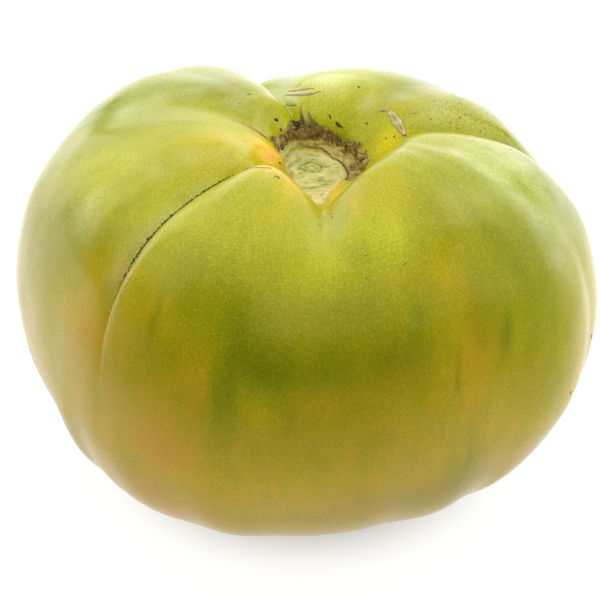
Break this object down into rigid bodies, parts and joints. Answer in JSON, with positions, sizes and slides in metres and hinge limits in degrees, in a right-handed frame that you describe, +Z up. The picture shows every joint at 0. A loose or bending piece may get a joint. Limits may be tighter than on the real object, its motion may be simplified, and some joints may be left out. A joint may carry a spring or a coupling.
{
  "type": "valencian tomato",
  "caption": "Large ribbed Valencian tomato, still green and yellow, with a corky stem scar in a hollow on top. It rests on the small flat spot at its blossom end.",
  "frame": {"origin": "on the surface that the fruit rests on, under the middle of its box", "axes": "+Z up along the stem axis, +X to the right and +Y away as the picture shows the fruit, so the open side of the stem hollow faces -Y"},
  "size_m": [0.1116, 0.1062, 0.0756],
  "materials": {
    "tomato_skin": "smooth waxy skin, yellow green with green streaks and an orange blush, rough brown cork round the cream stem scar"
  },
  "bodies": {
    "root": {"tomato": "tomato_skin"}
  },
  "joints": []
}
